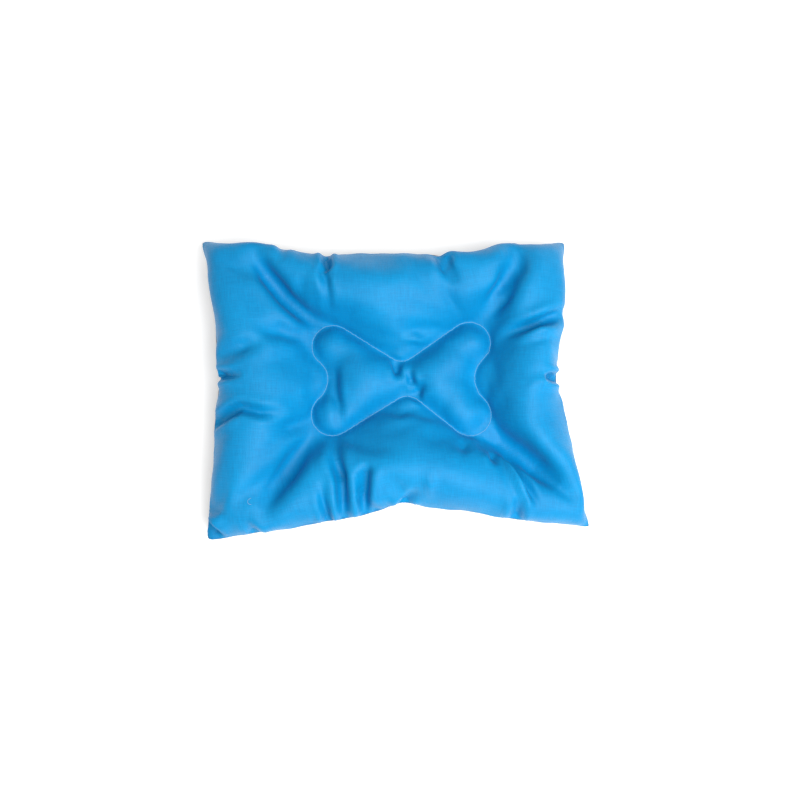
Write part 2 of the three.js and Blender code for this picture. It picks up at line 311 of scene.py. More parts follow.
def seam_paths(flat_size, step, corner_height, seam_height):
    """The edge seam as it is cut, as it is once stuffed, and its directions into the pillow.

    All have one row for each point. A direction has the way in and the way along the side."""
    flat, stuffed, heading = [], [], []
    half = np.array(flat_size) / 2
    peak_width = 0.03
    pucker_size, fine_pucker, broad_pucker = 0.3 * MM, 4.1 * MM, 9.3 * MM
    corner_rounding = 4
    signs = [np.array(side["corner"]) for side in SIDES.values()]
    for (start, end, side), a, b in zip(each_side(), signs, signs[1:] + signs[:1]):
        count = round(np.linalg.norm((b - a) * half) / step)
        share = np.linspace(0, 1, count + 1)[:-1]
        flat.append(a * half + share[:, None] * (b - a) * half)
        way_in = inward(start, end)
        knots = [start + s * (end - start) + pull * MM * way_in for s, pull in side["pulls"]]
        plan = smooth_path([start, *knots, end], count + 1)[:-1]
        # The seam climbs over a fifth of the side from either corner.
        rise = np.minimum(1, 5 * np.minimum(share, 1 - share)) ** 0.8
        height = corner_height + (seam_height - corner_height) * rise
        for place, extra in side["rises"]:
            height += extra * MM * np.exp(-(((share - place) / peak_width) ** 2))
        stuffed.append(np.column_stack([plan, height]))
        along = (end - start) / np.linalg.norm(end - start)
        to_middle = (1 - 2 * share)[:, None] * along
        heading.append(way_in + to_middle)
    stuffed = np.vstack(stuffed)
    heading = np.vstack(heading)
    for _ in range(corner_rounding):
        stuffed = (np.roll(stuffed, 1, axis=0) + 2 * stuffed + np.roll(stuffed, -1, axis=0)) / 4
    run = np.arange(len(stuffed)) * step
    pucker = pucker_size * (np.sin(run / fine_pucker) + np.sin(run / broad_pucker + 1))
    unit = heading / np.linalg.norm(heading, axis=1, keepdims=True)
    stuffed[:, :2] += unit * pucker[:, None]
    return np.vstack(flat), stuffed, heading


def arc(centre, radius, start, end):
    """Points along a round stretch, between two angles."""
    angles = np.linspace(start, end, 24)
    return np.array(centre) + radius * np.column_stack([np.cos(angles), np.sin(angles)])


def loop_path(count):
    """The quilting loop: four round lobes joined by hollow waists, fitted to the CAD thread.

    The back left lobe lies a little lower than the others, and the waist at the front a little
    further right than the one at the back."""
    half_x, half_y = (LOOP_HIGH - LOOP_LOW).xy / 2
    lobe = 0.237 * half_x
    lobe_x, lobe_y = half_x - lobe, half_y - lobe
    end_waist = 0.82 * half_x
    waist, hollow = 0.31 * half_y, 0.30 * half_y
    reach = end_waist - lobe_x
    rows = []
    for sign_x, sign_y, lower in ((1, 1, 0), (-1, 1, 3.5 * MM), (-1, -1, 0), (1, -1, 0)):
        level = lobe_y - lower
        end_hollow = (level**2 + reach**2 - lobe**2) / (2 * (lobe - reach))
        touch = math.atan2(-level, end_waist + end_hollow - lobe_x)
        shift = 0.066 * half_x * sign_x * (sign_y < 0)
        apart = np.array([lobe_x - shift, level - waist - hollow])
        slope = math.atan2(apart[1], apart[0])
        slope += math.asin((lobe + hollow) / np.linalg.norm(apart))
        quarter = np.vstack([
            arc((end_waist + end_hollow, 0), end_hollow, math.pi, touch + math.pi),
            arc((lobe_x, level), lobe, touch, slope + math.pi / 2),
            arc((shift, waist + hollow), hollow, slope - math.pi / 2, -math.pi / 2),
        ])
        quarter *= (sign_x, sign_y)
        rows.append(quarter if sign_x == sign_y else quarter[::-1])
    return spaced(np.vstack(rows), count, closed=True) + ((LOOP_LOW + LOOP_HIGH) / 2).xy


def fold_at(points, width, line):
    """How deep a fold is at some points over the pillow, from its line and its half width."""
    line = np.array(line, float)
    nearest = np.full(len(points), np.inf)
    depth = np.zeros(len(points))
    for a, b in zip(line, line[1:]):
        way = (b - a)[:2]
        share = np.clip((points - a[:2]) @ way / (way @ way), 0, 1)
        gap = np.linalg.norm(points - (a[:2] + share[:, None] * way), axis=1)
        closer = gap < nearest
        nearest[closer] = gap[closer]
        depth[closer] = (a[2] + share * (b[2] - a[2]))[closer]
    return depth, nearest / width


# ---- The cover cloth --------------------------------------------------------------------------


class Cloth:
    """Both cover panels as one sewn bag. A panel has one point for each flat point, and the two
    share their points on the edge seam and on the quilting loop."""

    def __init__(self, sizes):
        step = sizes.cloth_step
        flat_size = (sizes.flat_length, sizes.flat_width)
        seam_flat, seam_stuffed, self.heading = seam_paths(
            flat_size, step, sizes.corner_height, sizes.seam_height
        )
        loop_length, spacing = 0.66, 0.8 * step
        loop = loop_path(round(loop_length / spacing))
        middle = np.array(((LOOP_LOW + LOOP_HIGH) / 2).xy)
        loop_flat = (loop - middle) * sizes.flat_loop + middle * LOOP_PLACE
        loop_stuffed = np.column_stack([loop, np.full(len(loop), sizes.quilt_height)])
        self.cut(flat_size, step, seam_flat, loop_flat)
        self.stuffed = np.zeros((len(self.flat), 3))
        self.stuffed[self.seam] = seam_stuffed
        self.stuffed[self.loop] = loop_stuffed
        self.plan = self.flat + self.spread(self.stuffed[:, :2] - self.flat)
        self.front = round(sizes.flat_length / step)
        self.sizes = sizes

    def cut(self, flat_size, step, seam, loop):
        """Fills the flat outline with evenly scattered points and joins them in triangles."""
        clear, scatter = 0.62 * step, 0.1
        rng = np.random.default_rng(4)
        sewn = np.vstack([seam, loop])
        tree = KDTree(len(sewn))
        for i, (x, y) in enumerate(sewn):
            tree.insert((x, y, 0), i)
        tree.balance()
        points = [tuple(p) for p in sewn]
        half_x, half_y = np.array(flat_size) / 2
        rows = np.arange(-half_y, half_y, step * math.sqrt(3) / 2)
        for row, y in enumerate(rows):
            for x in np.arange(-half_x + (row % 2) * step / 2, half_x, step):
                if tree.find((x, y, 0))[2] > clear:
                    moved = rng.uniform(-scatter, scatter, 2) * step
                    points.append(tuple(np.array([x, y]) + moved))
        ring = [(i, (i + 1) % len(seam)) for i in range(len(seam))]
        ring += [
            (len(seam) + i, len(seam) + (i + 1) % len(loop)) for i in range(len(loop))
        ]
        made = geometry.delaunay_2d_cdt([Vector(p) for p in points], ring, [], 1, 1e-7)
        flat, triangles, origins = made[0], made[2], made[3]
        place = {first: i for i, row in enumerate(origins) for first in row}
        self.flat = np.array([tuple(p) for p in flat])
        faces = np.array([list(t) for t in triangles])
        a, b, c = (self.flat[faces[:, k]] for k in range(3))
        turned = np.cross(b - a, c - a) < 0
        faces[turned] = faces[turned][:, ::-1]
        self.faces = faces
        self.seam = np.array([place[i] for i in range(len(seam))])
        self.loop = np.array([place[len(seam) + i] for i in range(len(loop))])
        self.sewn = np.zeros(len(self.flat), bool)
        self.sewn[self.seam] = self.sewn[self.loop] = True
        self.from_sewn = self.distance(np.flatnonzero(self.sewn))

    def distance(self, known):
        """How far each point of the flat panel is from the nearest of some of its points."""
        tree = KDTree(len(known))
        for i in known:
            tree.insert((*self.flat[i], 0), int(i))
        tree.balance()
        return np.array([tree.find((x, y, 0))[2] for x, y in self.flat])

    def spread(self, values):
        """Carries values known on the sewn points to all points, by nearness."""
        known = np.flatnonzero(self.sewn)
        result = values.copy()
        for i in np.flatnonzero(~self.sewn):
            weight = 1 / ((self.flat[known] - self.flat[i]) ** 2).sum(axis=1) ** 1.5
            result[i] = (weight[:, None] * values[known]).sum(axis=0) / weight.sum()
        return result

    def slackness(self):
        """How little of the stuffing's push reaches each point of the top panel."""
        slack = np.zeros(len(self.plan))
        for width, line in FOLDS:
            depth, gap = fold_at(self.plan / MM, 1.2 * width, line)
            slack = np.maximum(slack, depth * np.exp(-(gap**2)))
        return slack

    def stuff(self):
        """Blows the bag up while its seams travel to where they lie on the stuffed pillow."""
        sizes = self.sizes
        count = len(self.flat)
        back = np.arange(count)
        free = ~self.sewn
        back[free] = count + np.arange(free.sum())
        start_gap, opening = 3 * MM, 10 * MM
        lift = start_gap * (1 - np.exp(-self.from_sewn / opening))
        level = sizes.quilt_height
        start = np.zeros((count + int(free.sum()), 3))
        start[back, :2] = self.flat
        start[:count, :2] = self.flat
        start[back, 2] = level - lift
        start[:count, 2] = level + lift
        faces = np.vstack([self.faces, back[self.faces][:, ::-1]])
        mesh = bpy.data.meshes.new("bag")
        mesh.from_pydata(start.tolist(), [], faces.tolist())
        bag = bpy.data.objects.new("bag", mesh)
        bpy.context.scene.collection.objects.link(bag)
        bag.shape_key_add(name="flat")
        moved = bag.shape_key_add(name="stuffed")
        for i in np.flatnonzero(self.sewn):
            moved.data[i].co = self.stuffed[i]
        push = np.ones(len(start))
        push[:count] = np.clip(1 - self.slackness(), 0.02, 1)
        self.simulate(bag, moved, push)
        evaluated = bag.evaluated_get(bpy.context.evaluated_depsgraph_get())
        places = np.zeros(len(start) * 3, np.float32)
        evaluated.data.vertices.foreach_get("co", places)
        places = places.reshape(-1, 3).astype(float)
        bpy.data.objects.remove(bag)
        return places[:count], places[back]

    def simulate(self, bag, moved, push):
        travel, settle = 20, 32
        moved.value = 0
        moved.keyframe_insert("value", frame=1)
        moved.value = 1
        moved.keyframe_insert("value", frame=travel)
        pinned = bag.vertex_groups.new(name="sewn")
        pinned.add(np.flatnonzero(self.sewn).tolist(), 1.0, "REPLACE")
        pushed = bag.vertex_groups.new(name="push")
        for i, weight in enumerate(push):
            pushed.add([i], float(weight), "REPLACE")
        modifier = bag.modifiers.new("Cloth", "CLOTH")
        cloth = modifier.settings
        cloth.quality = 5
        cloth.vertex_group_mass = pinned.name
        cloth.vertex_group_pressure = pushed.name
        cloth.tension_stiffness = self.sizes.tension
        cloth.compression_stiffness = 10
        cloth.shear_stiffness = 10
        cloth.bending_stiffness = self.sizes.bending
        cloth.tension_damping = cloth.compression_damping = cloth.shear_damping = 15
        cloth.air_damping = 3
        cloth.use_pressure = True
        cloth.uniform_pressure_force = self.sizes.fill_pressure
        cloth.effector_weights.gravity = 0
        modifier.collision_settings.use_collision = False
        modifier.point_cache.frame_end = settle
        scene = bpy.context.scene
        for step in range(1, settle + 1):
            scene.frame_set(step)


def on_cloth(cloth, flat_points, places):
    """Where points of the flat panel lie once its own points are at the given places."""
    sheet = [(x, y, 0) for x, y in cloth.flat]
    tree = BVHTree.FromPolygons(sheet, cloth.faces.tolist())
    found = []
    for x, y in flat_points:
        spot, _, face, _ = tree.find_nearest((x, y, 0))
        corners = cloth.faces[face]
        shares = poly_3d_calc([Vector(sheet[i]) for i in corners], spot)
        found.append(np.array(shares) @ places[corners])
    return np.array(found)


def outward(faces, places, face):
    """The direction out of the pillow at each point of a panel."""
    a, b, c = (places[faces[:, k]] for k in range(3))
    normals = np.zeros_like(places)
    for k in range(3):
        np.add.at(normals, faces[:, k], np.cross(b - a, c - a) * face)
    return normals / np.maximum(np.linalg.norm(normals, axis=1, keepdims=True), 1e-12)


def enclosed(points, outline):
    """Which points lie inside a closed outline."""
    inside = np.zeros(len(points), bool)
    x, y = points.T
    for (x0, y0), (x1, y1) in zip(outline, np.roll(outline, -1, axis=0)):
        crosses = (y0 > y) != (y1 > y)
        at = x0 + (y - y0) * (x1 - x0) / (y1 - y0 if y1 != y0 else 1)
        inside ^= crosses & (x < at)
    return inside


def ironed(cloth, places, rounds):
    """The panel with its fine wrinkles pressed out by the stuffing. Seams stay where they are."""
    edges = np.vstack([cloth.faces[:, [0, 1]], cloth.faces[:, [1, 2]], cloth.faces[:, [2, 0]]])
    edges = np.unique(np.sort(edges, axis=1), axis=0)
    a, b = edges.T
    neighbours = np.bincount(a, minlength=len(places)) + np.bincount(b, minlength=len(places))
    free = ~cloth.sewn
    share = 0.6
    places = places.copy()
    for _ in range(rounds):
        total = np.zeros_like(places)
        np.add.at(total, a, places[b])
        np.add.at(total, b, places[a])
        mean = total / neighbours[:, None]
        places[free] += share * (mean - places)[free]
    return places


def folded(cloth, places, normals, spare=0):
    """The top panel with its folds pressed in, and plumped up beside its seams. The stuffing
    leaves some millimetres to spare round a fold, and doesn't fill the ridges."""
    back = BVHTree.FromPolygons(made["places"][BACK].tolist(), cloth.faces.tolist())
    room = np.array([back.ray_cast(place, (0, 0, -1))[3] or 0 for place in places])
    sewn = made["top"][cloth.sewn]
    tree = KDTree(len(sewn))
    for i, place in enumerate(sewn):
        tree.insert(place, i)
    tree.balance()
    clear = np.array([tree.find(place)[2] for place in places])
    depth = np.zeros(len(places))
    for width, line in FOLDS:
        fold, gap = fold_at(places[:, :2] / MM, width + spare, line)
        if spare:
            depth += np.maximum(fold, 0) * np.exp(-(gap**2))
        else:
            # Two half widths away, the cloth that a fold takes in rises a little.
            depth += fold * (np.exp(-(gap**2)) - 0.3 * np.exp(-((gap - 2) ** 2)))
    fading = 5 * MM
    depth *= cloth.sizes.fold_depth * (1 - np.exp(-((clear / fading) ** 2)))
    most = 0.6 * room
    depth = np.minimum(depth, most)
    loop = made["top"][cloth.loop]
    in_pocket = enclosed(places[:, :2], loop[:, :2])
    swell = np.where(in_pocket, cloth.sizes.pocket_swell, cloth.sizes.ring_swell)
    reach = np.where(in_pocket, 15 * MM, 7 * MM)
    depth -= swell * (1 - np.exp(-((clear / reach) ** 2)))
    return places - normals * depth[:, None]


def rested(places):
    """The underside pressed flat by the floor, with a soft bend round the flat part."""
    bend = 3 * MM
    z = places[:, 2]
    curved = np.where(np.abs(z) < bend, (z + bend) ** 2 / (4 * bend), np.maximum(z, 0))
    return np.column_stack([places[:, :2], curved])


# What the operators hand on to each other: the cloth, where both panels lie, the finished covers
# and the threads.
made = {}


def link(name, mesh, *materials):
    piece = bpy.data.objects.new(name, mesh)
    bpy.context.scene.collection.objects.link(piece)
    for material in materials:
        mesh.materials.append(material)
    return piece


def finished(piece):
    """Applies a piece's modifiers."""
    evaluated = piece.evaluated_get(bpy.context.evaluated_depsgraph_get())
    mesh = bpy.data.meshes.new_from_object(evaluated)
    piece.modifiers.clear()
    old, piece.data = piece.data, mesh
    mesh.name = old.name
    bpy.data.meshes.remove(old)
    mesh.polygons.foreach_set("use_smooth", [True] * len(mesh.polygons))
    return piece


def cover(name, cloth, places, face, material):
    """One cover panel with its turned-in allowance, as a sheet with a thickness."""
    sizes = cloth.sizes
    touching = 4 * MM
    apart = 0.7 * sizes.cloth_thickness * np.exp(-cloth.from_sewn / touching)
    points = places.copy()
    points[:, 2] += face * apart
    rows, maps = [points], [cloth.flat]
    rings = [cloth.seam]
    seam = points[cloth.seam]
    count = len(points)
    for share in STRIP:
        reach = share * sizes.allowance
        ring = seam.copy()
        ring[:, :2] += cloth.heading * reach
        rows.append(ring)
        maps.append(cloth.flat[cloth.seam] - cloth.heading * reach)
        rings.append(count + np.arange(len(seam)))
        count += len(seam)
    faces = cloth.faces.tolist()
    for outer, inner in zip(rings, rings[1:]):
        for i, m in zip(range(len(seam)), [*range(1, len(seam)), 0]):
            faces.append([int(j) for j in (outer[m], outer[i], inner[i], inner[m])])
    if face == BACK:
        faces = [corners[::-1] for corners in faces]
    mesh = bpy.data.meshes.new(name)
    mesh.from_pydata(np.vstack(rows).tolist(), [], faces)
    weave = mesh.uv_layers.new(name="Weave")
    corners = np.zeros(len(mesh.loops), int)
    mesh.loops.foreach_get("vertex_index", corners)
    weave.data.foreach_set("uv", np.vstack(maps)[corners].ravel())
    turned_in = mesh.attributes.new("turned in", "FLOAT", "POINT")
    turned_in.data.foreach_set("value", (np.arange(count) >= len(points)).astype(float))
    piece = link(name, mesh, material)
    smooth = piece.modifiers.new("Smooth", "SUBSURF")
    smooth.levels = smooth.render_levels = 1
    smooth.use_limit_surface = False
    finished(piece)
    turned_in = piece.data.attributes["turned in"]
    if face == TOP:
        vertices = piece.data.vertices
        share = np.zeros(len(vertices), np.float32)
        turned_in.data.foreach_get("value", share)
        panel = share == 0
        normals = np.array([vertex.normal[:] for vertex in vertices])
        fine = places_of(piece, range(len(vertices)))
        fine[panel] = folded(cloth, fine[panel], normals[panel])
        vertices.foreach_set("co", fine.ravel())
    piece.data.attributes.remove(turned_in)
    thick = piece.modifiers.new("Thickness", "SOLIDIFY")
    thick.thickness = sizes.cloth_thickness
    thick.offset = -1
    return spread_map(finished(piece))


def spread_map(piece):
    """A second map without overlaps: the outer face large, its inner face small above it."""
    mesh = piece.data
    corners = np.zeros(len(mesh.loops), int)
    mesh.loops.foreach_get("vertex_index", corners)
    starts = np.zeros(len(mesh.polygons), int)
    mesh.polygons.foreach_get("loop_start", starts)
    outer = np.minimum.reduceat(corners, starts) < len(mesh.vertices) // 2
    outer = np.repeat(outer, np.diff(np.append(starts, len(corners))))
    flat = np.zeros(len(corners) * 2)
    mesh.uv_layers["Weave"].data.foreach_get("uv", flat)
    flat = flat.reshape(-1, 2)
    low, high = flat.min(axis=0), flat.max(axis=0)
    spread = (flat - low) / (high - low).max()
    spread[outer] = spread[outer] * 0.98 + 0.01
    spread[~outer] = spread[~outer] * 0.18 + (0.01, 0.81)
    mesh.uv_layers.new(name="OFBake").data.foreach_set("uv", spread.ravel())
    return piece


def filling(name, cloth, top, under, chosen, material):
    """Stuffing between the covers: lumpy faces that follow them, and a wall round the edge."""
    faces = cloth.faces[chosen[cloth.faces].all(axis=1)]
    used, faces = np.unique(faces, return_inverse=True)
    faces = faces.reshape(-1, 3)
    deepest = 0.35 * np.linalg.norm(top - under, axis=1)
    lump_scale = 70
    sides = []
    for places, face in ((top, TOP), (under, BACK)):
        shift = Vector((face, 0, 0))
        lumps = np.array([noise.noise(Vector(place) * lump_scale + shift) for place in places])
        depth = np.minimum(cloth.sizes.loft_gap * (1.6 + 0.6 * lumps), deepest)
        inner = places - outward(cloth.faces, places, face) * depth[:, None]
        sides.append(inner[used])
    count = len(used)
    waist = (sides[0] + sides[1]) / 2
    polygons = faces.tolist() + (faces[:, ::-1] + count).tolist()
    edges = {(a, b) for face in faces.tolist() for a, b in zip(face, face[1:] + face[:1])}
    for a, b in sorted(edges):
        if (b, a) not in edges:
            polygons.append([a + 2 * count, b + 2 * count, b, a])
            polygons.append([a + count, b + count, b + 2 * count, a + 2 * count])
    rim = np.unique([[a, b] for a, b in edges if (b, a) not in edges])
    keep = np.full(3 * count, -1)
    wanted = np.concatenate([np.arange(2 * count), 2 * count + rim])
    keep[wanted] = np.arange(len(wanted))
    points = np.vstack([*sides, waist])[wanted]
    mesh = bpy.data.meshes.new(name)
    mesh.from_pydata(points.tolist(), [], [[int(keep[i]) for i in polygon] for polygon in polygons])
    piece = link(name, mesh, material)
    smooth = piece.modifiers.new("Smooth", "SUBSURF")
    smooth.levels = smooth.render_levels = 1
    smooth.use_limit_surface = False
    return finished(piece)


# ---- Node trees written as expressions --------------------------------------------------------


class Value:
    """What a node gives out. Arithmetic on values adds Math nodes."""

    def __init__(self, nodes, socket):
        self.nodes = nodes
        self.socket = socket

    def maths(self, operation, *others):
        sockets = dict(enumerate((self, *others)))
        return self.nodes.node("ShaderNodeMath", {"operation": operation}, sockets)

    def __add__(self, other):
        return self.maths("ADD", other)

    __radd__ = __add__

    def __mul__(self, other):
        return self.maths("MULTIPLY", other)

    __rmul__ = __mul__

    def __sub__(self, other):
        return self.maths("SUBTRACT", other)

    def __rsub__(self, other):
        return self * -1 + other

    def __truediv__(self, other):
        return self.maths("DIVIDE", other)

    def sine(self):
        return self.maths("SINE")

    def cosine(self):
        return self.maths("COSINE")

    def size(self):
        return self.maths("ABSOLUTE")

    def whole(self):
        return self.maths("FLOOR")

    def most(self, other):
        return self.maths("MAXIMUM", other)

    def along(self, vector):
        """A vector, made as many times as long as this value says."""
        return self.nodes.node("ShaderNodeVectorMath", {"operation": "SCALE"}, {0: vector, 3: self})


class Nodes:
    """A node tree to which nodes are added."""

    def __init__(self, tree):
        self.tree = tree

    def node(self, kind, settings=None, sockets=None, output=0):
        """Adds a node, gives it its settings and then its sockets, and returns one output."""
        node = self.tree.nodes.new(kind)
        for name, value in (settings or {}).items():
            setattr(node, name, value)
        for name, value in (sockets or {}).items():
            self.feed(node.inputs[name], value)
        return Value(self, node.outputs[output])

    def feed(self, socket, value):
        if isinstance(value, Value):
            self.tree.links.new(value.socket, socket)
        else:
            socket.default_value = value

    def join(self, x, y, z=0.0):
        return self.node("ShaderNodeCombineXYZ", {}, {0: x, 1: y, 2: z})


class Finish(Nodes):
    """A material and the nodes that make it."""

    def __init__(self, name):
        self.material = bpy.data.materials.new(name)
        self.material.use_nodes = True
        super().__init__(self.material.node_tree)
        self.shader = self.tree.nodes["Principled BSDF"]

    def shade(self, **sockets):
        """Feeds the shader. An underscore in a name stands for a space."""
        for name, value in sockets.items():
            self.feed(self.shader.inputs[name.replace("_", " ")], value)
        return self.material

    def place(self):
        """Object coordinates."""
        return self.node("ShaderNodeTexCoord", {}, {}, output=3)

    def split(self, vector):
        """The three numbers of a vector."""
        sockets = {0: vector}
        return [self.node("ShaderNodeSeparateXYZ", {}, sockets, output=axis) for axis in range(3)]

    def noise(self, place, scale, detail=2.0):
        """Noise from -1 to 1, mostly near 0."""
        sockets = {"Vector": place, "Scale": scale, "Detail": detail}
        return self.node("ShaderNodeTexNoise", {}, sockets) * 2 - 1

    def blend(self, share, first, second):
        """A colour between two colours."""
        settings = {"data_type": "RGBA", "clamp_factor": True}
        return self.node("ShaderNodeMix", settings, {0: share, 6: first, 7: second}, output=2)

    def bump(self, height, distance, strength=1.0, under=None):
        sockets = {"Height": height, "Distance": distance, "Strength": strength}
        if under:
            sockets["Normal"] = under
        return self.node("ShaderNodeBump", {}, sockets)


class Sewing(Nodes):
    """A Geometry Nodes tree that lays thread along a path."""

    def __init__(self, name, inputs):
        super().__init__(bpy.data.node_groups.new(name, "GeometryNodeTree"))
        sockets = {"Path": "Geometry", **inputs, "Material": "Material"}
        for label, kind in sockets.items():
            self.tree.interface.new_socket(
                label, in_out="INPUT", socket_type=f"NodeSocket{kind}"
            )
        self.tree.interface.new_socket(
            "Thread", in_out="OUTPUT", socket_type="NodeSocketGeometry"
        )
        self.given = self.tree.nodes.new("NodeGroupInput")

    def input(self, label):
        return Value(self, self.given.outputs[label])

    def path(self, step):
        """The path as a curve with a point at each step."""
        curve = self.node("GeometryNodeMeshToCurve", {}, {"Mesh": self.input("Path")})
        sockets = {"Curve": curve, "Length": step}
        return self.node("GeometryNodeResampleCurve", {"mode": "LENGTH"}, sockets)

    def vector(self, name):
        """A direction that the path carries at each of its points."""
        settings = {"data_type": "FLOAT_VECTOR"}
        return self.node("GeometryNodeInputNamedAttribute", settings, {"Name": name})

    def tube(self, curve, diameter, sides):
        circle = {"Resolution": sides, "Radius": diameter / 2}
        profile = self.node("GeometryNodeCurvePrimitiveCircle", {}, circle)
        sockets = {"Curve": curve, "Profile Curve": profile, "Fill Caps": True}
        return self.node("GeometryNodeCurveToMesh", {}, sockets)

    def finish(self, shape):
        real = self.node("GeometryNodeRealizeInstances", {}, {"Geometry": shape})
        sockets = {"Geometry": real, "Material": self.input("Material")}
        done = self.node("GeometryNodeSetMaterial", {}, sockets)
        self.feed(self.tree.nodes.new("NodeGroupOutput").inputs[0], done)
        return self.tree


def running_stitch():
    """Short arched stitches, one after the other."""
    sewing = Sewing("Running stitch", {"Pitch": "Float", "Gap": "Float", "Diameter": "Float"})
    pitch, gap, diameter = (sewing.input(label) for label in ("Pitch", "Gap", "Diameter"))
    reach = (pitch - gap) / 2
    dip = diameter * -0.35
    arch = {
        "Resolution": 6,
        "Start": sewing.join(reach * -1, 0.0, dip),
        "Middle": sewing.join(0.0, 0.0, diameter),
        "End": sewing.join(reach, 0.0, dip),
    }
    curve = sewing.node("GeometryNodeCurveQuadraticBezier", {}, arch)
    stitch = sewing.tube(curve, diameter, 6)
    heading = sewing.node("GeometryNodeInputTangent")
    lying = sewing.node("FunctionNodeAlignRotationToVector", {"axis": "X"}, {"Vector": heading})
    upright = sewing.node(
        "FunctionNodeAlignRotationToVector",
        {"axis": "Z", "pivot_axis": "X"},
        {"Rotation": lying, "Vector": sewing.vector("up")},
    )
    sockets = {"Points": sewing.path(pitch), "Instance": stitch, "Rotation": upright}
    return sewing.finish(sewing.node("GeometryNodeInstanceOnPoints", {}, sockets))


def winding():
    """Thread that winds round a path, or follows it where it has no height and depth."""
    inputs = {"Pitch": "Float", "Height": "Float", "Depth": "Float", "Diameter": "Float"}
    sewing = Sewing("Winding", inputs)
    pitch, height, depth, diameter = (sewing.input(label) for label in inputs)
    run = sewing.node("GeometryNodeSplineParameter", {}, {}, output=1)
    turn = run / pitch * math.tau
    rise = (turn.sine() * height / 2).along(sewing.vector("up"))
    reach = (turn.cosine() * depth / 2).along(sewing.vector("inward"))
    offset = sewing.node("ShaderNodeVectorMath", {}, {0: rise, 1: reach})
    sockets = {"Geometry": sewing.path(pitch / 16), "Offset": offset}
    wound = sewing.node("GeometryNodeSetPosition", {}, sockets)
    return sewing.finish(sewing.tube(wound, diameter, 5))


def sew(name, tree, points, closed, vectors, settings, material):
    """Runs a thread tree along a path and returns the finished piece."""
    mesh = bpy.data.meshes.new(name)
    last = len(points) if closed else len(points) - 1
    edges = [(i, (i + 1) % len(points)) for i in range(last)]
    mesh.from_pydata(points.tolist(), edges, [])
    for label, rows in vectors.items():
        rows = np.broadcast_to(np.asarray(rows, float), points.shape)
        layer = mesh.attributes.new(label, "FLOAT_VECTOR", "POINT")
        layer.data.foreach_set("vector", rows.ravel())
    piece = link(name, mesh)
    modifier = piece.modifiers.new(tree.name, "NODES")
    modifier.node_group = tree
    given = {**settings, "Material": material}
    for item in tree.interface.items_tree:
        if item.name in given:
            modifier[item.identifier] = given[item.name]
    return finished(piece)


# ---- Materials --------------------------------------------------------------------------------


def woven(name, shaded, lit, colours, yarn):
    """Plain-woven cloth, with its yarns along the panel's own length and width."""
    finish = Finish(name)
    flat = finish.node("ShaderNodeUVMap", {"uv_map": "Weave"})
    along, across, _ = finish.split(flat)
    warp, weft = along / yarn, across / yarn
    crossing = (warp.whole() + weft.whole()) * math.pi
    over = (warp * math.pi).sine().size() * ((weft * math.pi + crossing).sine() * 0.4 + 0.6)
    under = (weft * math.pi).sine().size() * (0.6 - (warp * math.pi + crossing).sine() * 0.4)
    relief = over.most(under)
    slub_warp = finish.noise(finish.join(along * 800, across * 60), 1.0)
    slub_weft = finish.noise(finish.join(along * 60, across * 800), 1.0)
    slubs = slub_warp + slub_weft
    place = finish.place()
    patches = finish.noise(place, 22.0, 3.0)
    # Painted shade: the colour runs from the shaded colour between the yarns to the lit colour on top
    # of them; slubs and patches add the yarn's own uneven tone.
    shade = (relief - 0.6) * 0.5 + slubs * 0.3 + patches * 0.3 + 0.5
    colour = finish.blend(shade, (*shaded, 1), (*lit, 1))
    weave = finish.bump(relief, 0.22 * yarn, 0.8)
    uneven = finish.bump(slubs, 0.05 * yarn, 1.0, weave)
    return finish.shade(
        Base_Color=colour,
        Roughness=colours.roughness - relief * 0.08,
        Normal=uneven,
        Sheen_Weight=colours.sheen,
        Sheen_Roughness=0.4,
        Specular_IOR_Level=0.2,
    )


def spun(name, colour):
    """Sewing thread: plies that wind round it, and a fine fuzz."""
    finish = Finish(name)
    place = finish.place()
    along, across, up = finish.split(place)
    turns = (along + across * 0.8 + up * 0.6) / (0.35 * MM)
    plies = (turns * math.pi).sine().size()
    fuzz = finish.noise(place, 4000.0)
    # Painted shade: the thread is darker in the grooves between its plies; the fuzz adds the thread's
    # own uneven tone.
    shade = plies * 0.6 + fuzz * 0.3 + 0.2
    dark = tuple(0.55 * part for part in colour)
    return finish.shade(
        Base_Color=finish.blend(shade, (*dark, 1), (*colour, 1)),
        Roughness=0.75 - plies * 0.1,
        Normal=finish.bump(plies, 0.06 * MM, 0.7),
        Sheen_Weight=0.1,
        Specular_IOR_Level=0.2,
    )


def fibrous(name, colour):
    """Loose hollow fibre in soft clumps."""
    finish = Finish(name)
    place = finish.place()
    clumps = finish.noise(place, 90.0, 4.0)
    strands = finish.noise(place, 1400.0, 5.0)
    shade = clumps * 0.5 + strands * 0.4 + 0.6
    dark = tuple(0.7 * part for part in colour)
    rough = finish.bump(strands, 0.3 * MM, 0.8, finish.bump(clumps, 1.5 * MM, 0.6))
    return finish.shade(
        Base_Color=finish.blend(shade, (*dark, 1), (*colour, 1)),
        Roughness=0.95 - strands * 0.05,
        Normal=rough,
        Sheen_Weight=0.3,
    )


def matt(name, colour):
    """The studio floor."""
    finish = Finish(name)
    place = finish.place()
    grain = finish.noise(place, 300.0)
    white = (*colour, 1)
    off_white = (*(0.98 * part for part in colour), 1)
    return finish.shade(
        Base_Color=finish.blend(grain, white, off_white),
        Roughness=0.9,
        Emission_Color=white,
        Emission_Strength=0.3,
    )


# ---- Operators --------------------------------------------------------------------------------


